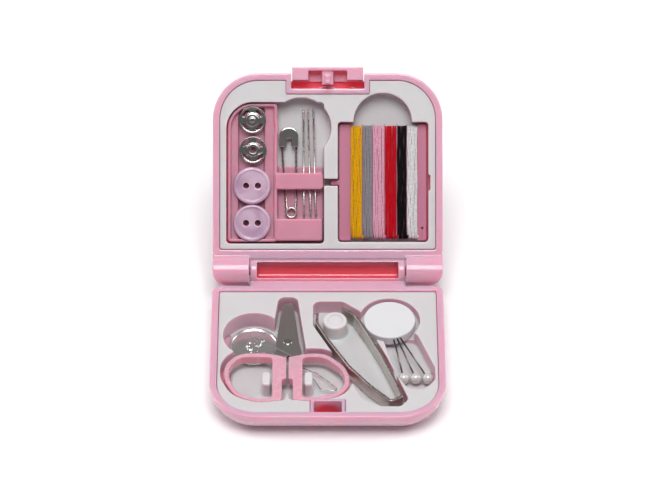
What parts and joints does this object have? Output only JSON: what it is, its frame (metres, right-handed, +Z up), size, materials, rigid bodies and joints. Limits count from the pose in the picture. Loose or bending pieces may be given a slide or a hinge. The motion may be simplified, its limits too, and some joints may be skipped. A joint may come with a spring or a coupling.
{
  "type": "travel sewing kit box",
  "caption": "Palm-sized hinged plastic sewing kit, open: scissors, tweezers, threader and pearl pins in the base tray; thread card, buttons, snaps, needles and safety pin in the lid.",
  "frame": {"origin": "middle of the base's flat underside", "axes": "+X to the user's right, +Y to the hinge side, +Z up"},
  "size_m": [0.07, 0.1077, 0.0555],
  "materials": {
    "shell_pink": "gloss",
    "latch_pink": "gloss",
    "tray_white": "satin",
    "holder_pink": "satin",
    "card_pink": "satin",
    "handle_pink": "gloss",
    "blade_steel": "ground",
    "rivet_steel": "polished",
    "threader_aluminium": "stamped",
    "wire_steel": "drawn",
    "cap_steel": "stamped",
    "tweezer_steel": "brushed",
    "pin_disc_white": "satin",
    "pin_steel": "drawn",
    "pearl": "pearl gloss",
    "needle_steel": "polished",
    "snap_steel": "plated",
    "button_lilac": "pearl gloss",
    "thread_yellow": "wound thread",
    "thread_grey": "wound thread",
    "thread_pink": "wound thread",
    "thread_red": "wound thread",
    "thread_black": "wound thread",
    "thread_white": "wound thread"
  },
  "bodies": {
    "base": {"base_shell": "shell_pink", "base_tray": "tray_white"},
    "lid": {"lid_shell": "shell_pink", "lid_tray": "tray_white", "latch_leaf": "latch_pink"},
    "latch": {"latch_button": "latch_pink"},
    "notions": {"notions_holder": "holder_pink", "button_1": "button_lilac", "button_2": "button_lilac", "snap_stud": "snap_steel", "snap_socket": "snap_steel", "safety_pin_wire": "wire_steel", "safety_pin_cap": "cap_steel", "needle_1": "needle_steel", "needle_2": "needle_steel", "needle_3": "needle_steel"},
    "card": {"thread_card": "card_pink", "thread_yellow": "thread_yellow", "thread_grey": "thread_grey", "thread_pink": "thread_pink", "thread_red": "thread_red", "thread_black": "thread_black", "thread_white": "thread_white"},
    "scissors": {"scissor_blade_upper": "blade_steel", "scissor_handle_right": "handle_pink", "scissor_rivet": "rivet_steel"},
    "scissors_low_half": {"scissor_blade_lower": "blade_steel", "scissor_handle_left": "handle_pink"},
    "tweezers": {"tweezers": "tweezer_steel"},
    "pins": {"pin_disc": "pin_disc_white", "pin_shaft_1": "pin_steel", "pin_shaft_2": "pin_steel", "pin_shaft_3": "pin_steel", "pearl_head_1": "pearl", "pearl_head_2": "pearl", "pearl_head_3": "pearl"},
    "threader": {"threader_plate": "threader_aluminium", "threader_wire": "wire_steel"}
  },
  "joints": [
    {"name": "lid_hinge", "type": "hinge", "parent": "base", "child": "lid", "pos_m": [0, 0.0328, 0.0105], "axis": [-1, 0, 0], "range_deg": [-135, 0]},
    {"name": "latch_press", "type": "slide", "parent": "lid", "child": "latch", "axis": [0, -0.7071, -0.7071], "range_m": [0, 0.001], "stiffness_N_per_m": 400, "springref_m": -0.001},
    {"name": "scissors_lift", "type": "slide", "parent": "base", "child": "scissors", "axis": [0, 0, 1], "range_m": [0, 0.045]},
    {"name": "scissors_pivot", "type": "hinge", "parent": "scissors", "child": "scissors_low_half", "pos_m": [-0.012, 0.0056, 0.0064], "axis": [0, 0, -1], "range_deg": [0, 21]},
    {"name": "threader_lift", "type": "slide", "parent": "base", "child": "threader", "axis": [0, 0, 1], "range_m": [0, 0.0226]},
    {"name": "tweezers_lift", "type": "slide", "parent": "base", "child": "tweezers", "axis": [0, 0, 1], "range_m": [0, 0.03]},
    {"name": "pin_disc_lift", "type": "slide", "parent": "base", "child": "pins", "axis": [0, 0, 1], "range_m": [0, 0.02]},
    {"name": "notions_lift", "type": "slide", "parent": "lid", "child": "notions", "axis": [0, -0.7071, 0.7071], "range_m": [0, 0.02]},
    {"name": "card_lift", "type": "slide", "parent": "lid", "child": "card", "axis": [0, -0.7071, 0.7071], "range_m": [0, 0.02]}
  ],
  "couplings": [
    {"joint": "scissors_pivot", "follows": "scissors_lift", "rad_per_m": 8},
    {"joint": "threader_lift", "follows": "scissors_lift", "ratio": 0.5}
  ]
}
